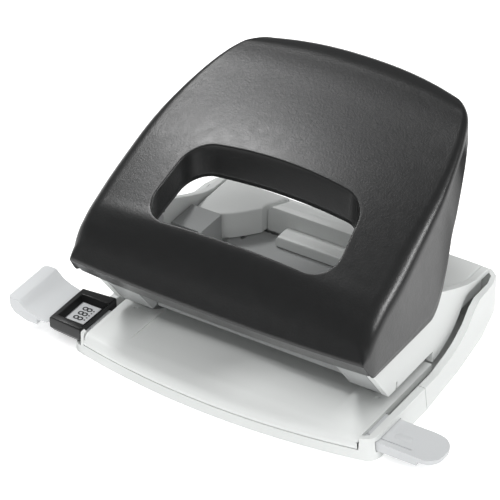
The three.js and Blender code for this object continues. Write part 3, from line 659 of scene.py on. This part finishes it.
# %% [markdown]
# ## Shader sums as expressions
# Patterns are mixed with Math nodes. Placing them by hand hides the sum that they stand for, so
# `Wire` lets a socket be used in ordinary Python sums, and each sign adds its node.


# %% Socket sums
class Wire:
    """A socket that can be added, subtracted and multiplied; each sign adds a Math node."""

    def __init__(self, finish, socket):
        self.finish = finish
        self.socket = socket

    def math(self, operation, first, second):
        return self.finish.add("ShaderNodeMath", {"operation": operation}, {0: first, 1: second})

    def __add__(self, other):
        return self.math("ADD", self, other)

    def __radd__(self, other):
        return self.math("ADD", other, self)

    def __sub__(self, other):
        return self.math("SUBTRACT", self, other)

    def __rsub__(self, other):
        return self.math("SUBTRACT", other, self)

    def __mul__(self, other):
        return self.math("MULTIPLY", self, other)

    def __rmul__(self, other):
        return self.math("MULTIPLY", other, self)


print("sockets can be used in sums")

# %% [markdown]
# ## A finish
# A finish is a Principled BSDF with patterns wired into it. What is the same all over is set on
# the shader itself, and what varies comes from nodes. `Finish.add` makes any node in one line, so
# a recipe reads like a formula.


# %% Shader helper
class Finish:
    """A material: a Principled BSDF, the constants set on it, and the nodes that feed it."""

    def __init__(self, name, constants):
        self.material = bpy.data.materials.new(name)
        self.material.use_nodes = True
        self.tree = self.material.node_tree
        self.shader = self.tree.nodes["Principled BSDF"]
        for socket, value in constants.items():
            self.shader.inputs[socket].default_value = value

    def add(self, kind, settings=None, sockets=None, take=0):
        """Adds a node, sets it up, wires or fills its sockets, and gives back one output."""
        node = self.tree.nodes.new(kind)
        for key, value in (settings or {}).items():
            setattr(node, key, value)
        for key, value in (sockets or {}).items():
            self.feed(node.inputs[key], value)
        return Wire(self, node.outputs[take])

    def feed(self, socket, value):
        """Links a Wire to the socket, or sets a plain value on it."""
        if isinstance(value, Wire):
            self.tree.links.new(value.socket, socket)
        else:
            socket.default_value = value

    def drive(self, name, wire):
        """Wires a pattern to one of the shader's own sockets."""
        self.feed(self.shader.inputs[name], wire)

    def place(self, centre=(0, 0, 0), size=(1, 1, 1)):
        """Object coordinates less centre, divided by size, both in millimetres."""
        where = self.add("ShaderNodeTexCoord", take="Object")
        sockets = {
            "Vector": where,
            "Location": [c * MM for c in centre],
            "Scale": [s * MM for s in size],
        }
        return self.add("ShaderNodeMapping", {"vector_type": "TEXTURE"}, sockets)

    def noise(self, place, detail=2.0, roughness=0.5):
        """A cloud pattern about 0 to 1, whose blobs are as large as the size given to place."""
        sockets = {"Vector": place, "Scale": 1.0, "Detail": detail, "Roughness": roughness}
        return self.add("ShaderNodeTexNoise", None, sockets)

    def mix(self, factor, first, second):
        """A colour between two colours, each three numbers."""
        sockets = {0: factor, 6: (*first, 1.0), 7: (*second, 1.0)}
        return self.add("ShaderNodeMix", {"data_type": "RGBA"}, sockets, take=2)

    def relief(self, height, depth, strength=1.0):
        """Bump from a height pattern, depth in millimetres, wired to the shader's Normal."""
        sockets = {"Strength": strength, "Distance": depth * MM, "Height": height}
        self.drive("Normal", self.add("ShaderNodeBump", None, sockets, take="Normal"))


def shade(tone, factor):
    """The tone made lighter or darker by a factor."""
    return tuple(c * factor for c in tone)


print("shader helper ready")

# %% [markdown]
# ## Moulded plastic
# The tool that forms the plastic is spark-eroded, so the surface is covered with a fine, even
# grain. Under a soft light it shows as a faint sparkle. The tone also drifts a little over the
# part, as the plastic flowed. Three noises do this: a slow one for tone, a middle one for gloss
# and a fine one for the grain.


# %% Moulded plastic finish
def moulded(name, tone, drift, roughness, grain, depth, gloss_change=0.06):
    """Plastic whose tone changes slowly by drift; the grain's size and depth are in millimetres."""
    finish = Finish(name, {"IOR": 1.49})
    slow = finish.noise(finish.place(size=(38, 38, 38)), detail=1.0)
    cloudy = finish.noise(finish.place(size=(3.5, 3.5, 3.5)), detail=3.0)
    fine_grain = finish.noise(finish.place(size=(grain,) * 3), detail=2.0, roughness=0.6)
    coarse_grain = finish.noise(finish.place(size=(2.6 * grain,) * 3), detail=1.0)
    blotches = 0.55 * slow + 0.25 * cloudy + 0.2 * fine_grain
    gloss = 2 * (0.6 * cloudy + 0.4 * fine_grain) - 1
    finish.drive("Base Color", finish.mix(blotches, shade(tone, 1 - drift), shade(tone, 1 + drift)))
    finish.drive("Roughness", roughness + gloss_change * gloss)
    finish.relief(0.65 * fine_grain + 0.35 * coarse_grain, depth)
    return finish.material


black_plastic = moulded(
    "black satin plastic", (0.0085, 0.0088, 0.0090), 0.10, 0.34, 0.60, 0.055, gloss_change=0.10)
grey_plastic = moulded("light grey plastic", (0.715, 0.732, 0.722), 0.012, 0.48, 0.34, 0.018)
white_plastic = moulded("near-white plastic", (0.60, 0.613, 0.622), 0.010, 0.40, 0.34, 0.014)
lever_plastic = moulded("dark grey plastic", (0.055, 0.056, 0.057), 0.08, 0.50, 0.40, 0.025)
print("plastics made")

# %% [markdown]
# ## Painted steel
# The bridge and the punch blocks are pressed or cast steel under a coat of grey paint. On the punch
# blocks this grey is darker than their light grey neighbours partly as painted shade, which stands
# in for the shade on their fronts. Paint draws itself into low, soft waves as it dries, which is
# called orange peel, and it is a little glossier than the plastic round it.


# %% Painted steel finish
def painted(name, tone, roughness):
    """Paint with orange peel about a millimetre across, and fine specks of dust in the coat."""
    finish = Finish(name, {"IOR": 1.5})
    peel = finish.noise(finish.place(size=(1.1, 1.1, 1.1)), detail=1.5)
    slow = finish.noise(finish.place(size=(22, 22, 22)), detail=2.0)
    speck = finish.noise(finish.place(size=(0.25, 0.25, 0.25)), detail=0.0)
    blotches = 0.7 * slow + 0.3 * speck
    finish.drive("Base Color", finish.mix(blotches, shade(tone, 0.93), shade(tone, 1.05)))
    finish.drive("Roughness", roughness + 0.10 * peel)
    finish.relief(0.8 * peel + 0.2 * speck, 0.035)
    return finish.material


# this paint also goes on the punch blocks, where its darker grey is partly painted shade for their
# shaded fronts
grey_paint_and_shade = painted("grey paint and painted shade", (0.36, 0.37, 0.37), 0.34)
print("paint made")

# %% [markdown]
# ## Bare steel
# Ground, turned and drawn steel differ only in the direction of the fine tool marks. Ground faces
# have straight marks, turned pieces have rings round their axis, and drawn wire has marks along
# it. The marks are a noise stretched along one direction, which changes the gloss and the relief.


# %% Bare steel finishes
def steel(name, tone, stretch, roughness):
    """Steel whose marks are a noise of that stretch, in millimetres along X, Y and Z."""
    finish = Finish(name, {"Metallic": 1.0})
    marks = finish.noise(finish.place(size=stretch), detail=3.0, roughness=0.65)
    stain = finish.noise(finish.place(size=(6, 6, 6)), detail=2.0)
    blotches = 0.6 * stain + 0.4 * marks
    finish.drive("Base Color", finish.mix(blotches, shade(tone, 0.82), shade(tone, 1.06)))
    finish.drive("Roughness", roughness + 0.16 * marks)
    finish.relief(marks, 0.012)
    return finish.material


ground_steel = steel("ground steel", (0.56, 0.56, 0.57), (9.0, 0.12, 0.5), 0.24)
turned_steel = steel("turned steel", (0.62, 0.62, 0.63), (4.0, 4.0, 0.10), 0.22)
cross_turned_steel = steel("cross-turned steel", (0.62, 0.62, 0.63), (0.10, 4.0, 4.0), 0.22)
drawn_wire = steel("drawn wire", (0.55, 0.55, 0.57), (1.8, 1.8, 0.14), 0.26)
print("steels made")

# %% [markdown]
# ## Rubber and the printed strip
# The mat and the feet are soft black rubber, matt and slightly dusty. The strip under the size
# window is printed card behind a clear cover, so it gets a glossy coat over a fine fibre pattern.

# %% Rubber and strip
rubber_finish = Finish("soft black rubber", {"IOR": 1.5})
dust = rubber_finish.noise(rubber_finish.place(size=(1.4, 1.4, 1.4)), detail=4.0, roughness=0.7)
pores = rubber_finish.noise(rubber_finish.place(size=(0.35, 0.35, 0.35)), detail=1.0)
rubber_colour = rubber_finish.mix(dust, (0.018, 0.018, 0.018), (0.06, 0.06, 0.058))
rubber_finish.drive("Base Color", rubber_colour)
rubber_finish.drive("Roughness", 0.72 + 0.18 * pores)
rubber_finish.relief(0.5 * dust + 0.5 * pores, 0.05)

strip_finish = Finish(
    "printed strip", {"Coat Weight": 0.8, "Coat Roughness": 0.06, "IOR": 1.49})
fibre = strip_finish.noise(strip_finish.place(size=(0.3, 1.6, 0.3)), detail=3.0)
strip_finish.drive("Base Color", strip_finish.mix(fibre, (0.46, 0.47, 0.48), (0.54, 0.55, 0.56)))
strip_finish.drive("Roughness", 0.42 + 0.1 * fibre)
strip_finish.relief(fibre, 0.01)

ink_finish = Finish("printing ink", {"IOR": 1.5})
ink_grain = ink_finish.noise(ink_finish.place(size=(0.12, 0.12, 0.12)), detail=2.0)
ink_colour = ink_finish.mix(ink_grain, (0.010, 0.010, 0.011), (0.02, 0.02, 0.021))
ink_finish.drive("Base Color", ink_colour)
ink_finish.drive("Roughness", 0.35 + 0.15 * ink_grain)
ink_finish.relief(ink_grain, 0.01)
print("rubber, strip and ink made")

# %% [markdown]
# ## Giving each piece its finish
# The pieces share a few finishes, so one table says which kind of piece gets which.

# %% Assign finishes
FINISH_OF = {
    "lower_shell": grey_plastic, "bed_plate": grey_plastic, "chad_tray": grey_plastic,
    "side_plate": grey_plastic, "deck_ear": grey_plastic, "rear_box": grey_plastic,
    "base_mat": rubber_finish.material, "tray_foot": rubber_finish.material,
    "die_insert": ground_steel, "back_stop": grey_paint_and_shade, "bridge_plate": grey_paint_and_shade,
    # the punch blocks take the darker grey paint partly as painted shade, standing in for the shade
    # on their fronts
    "punch_block": grey_paint_and_shade, "index_frame": black_plastic, "index_lens": strip_finish.material,
    "guide_bar": white_plastic, "paper_stop": white_plastic, "punch_guide": turned_steel,
    "punch_pin": turned_steel, "punch_cap": turned_steel, "axle_pin": cross_turned_steel,
    "press_roller": cross_turned_steel, "press_lever": lever_plastic,
}
for node, piece in fine.items():
    piece.data.materials.append(FINISH_OF[kind_of(node)])
handle_skin.data.materials.append(black_plastic)
figures.data.materials.append(ink_finish.material)
for spring in springs:
    spring.data.materials.append(drawn_wire)
print("pieces with a finish:", len(fine) + 2 + len(springs))

# %% [markdown]
# ## Floor and light
# A white floor, a softbox high on the left and slightly behind, a narrow light on the right, and
# a wide fill from above. The softbox is what the black top reflects, and the narrow light draws
# the bright line along the handle's right edge. The fill is kept out of reflections so that the
# front of the handle stays deep black. The floor glows a little, as a lit studio table does, so
# that shadows on it stay pale.


# %% Floor
FLOOR_HALF = 4000.0
FLOOR_GLOW = 0.42
floor_finish = Finish("white floor", {
    "IOR": 1.45, "Emission Color": (1, 1, 1, 1), "Emission Strength": FLOOR_GLOW,
})
floor_tone = floor_finish.noise(floor_finish.place(size=(900, 900, 900)), detail=2.0)
floor_colour = floor_finish.mix(floor_tone, (0.90, 0.90, 0.90), (0.92, 0.92, 0.92))
floor_finish.drive("Base Color", floor_colour)
floor_finish.drive("Roughness", 0.7 + 0.1 * floor_tone)
floor_corners = ((-1, -1), (1, -1), (1, 1), (-1, 1))
floor_points = [(x * FLOOR_HALF, y * FLOOR_HALF, 0) for x, y in floor_corners]
floor = add_object("floor", floor_points, [(0, 1, 2, 3)], smooth=False)
floor.data.materials.append(floor_finish.material)
print("floor:", round(2 * FLOOR_HALF * MM), "metres wide")

# %% Lights
# name, place, point it faces, width and height in metres, power in watts, kinds of ray it misses
LIGHTS = (
    ("softbox", (-0.82, 0.31, 1.27), (0, 0.02, 0.06), 0.44, 0.34, 10.0, ()),
    ("edge light", (1.00, 0.17, 0.72), (0.04, 0.01, 0.05), 0.75, 0.14, 11.0, ("visible_diffuse",)),
    ("fill", (0.8, -0.7, 2.1), (0, 0, 0), 3.2, 3.2, 74.0, ("visible_glossy",)),
)
ROOM_STRENGTH = 0.22

for name, place, aim, width, height, power, misses in LIGHTS:
    data = bpy.data.lights.new(name, "AREA")
    data.shape = "RECTANGLE"
    data.size, data.size_y = width, height
    data.energy = power
    light = bpy.data.objects.new(name, data)
    light.location = place
    light.rotation_euler = (Vector(aim) - Vector(place)).to_track_quat("-Z", "Y").to_euler()
    for ray in misses:
        setattr(light, ray, False)
    bpy.context.scene.collection.objects.link(light)

world = bpy.data.worlds.new("room")
world.use_nodes = True
background = world.node_tree.nodes["Background"]
background.inputs["Color"].default_value = (1.0, 1.0, 1.0, 1.0)
background.inputs["Strength"].default_value = ROOM_STRENGTH
bpy.context.scene.world = world
bpy.context.scene.view_settings.view_transform = "Standard"
bpy.context.scene.view_settings.look = "None"
print("lights:", ", ".join(row[0] for row in LIGHTS))
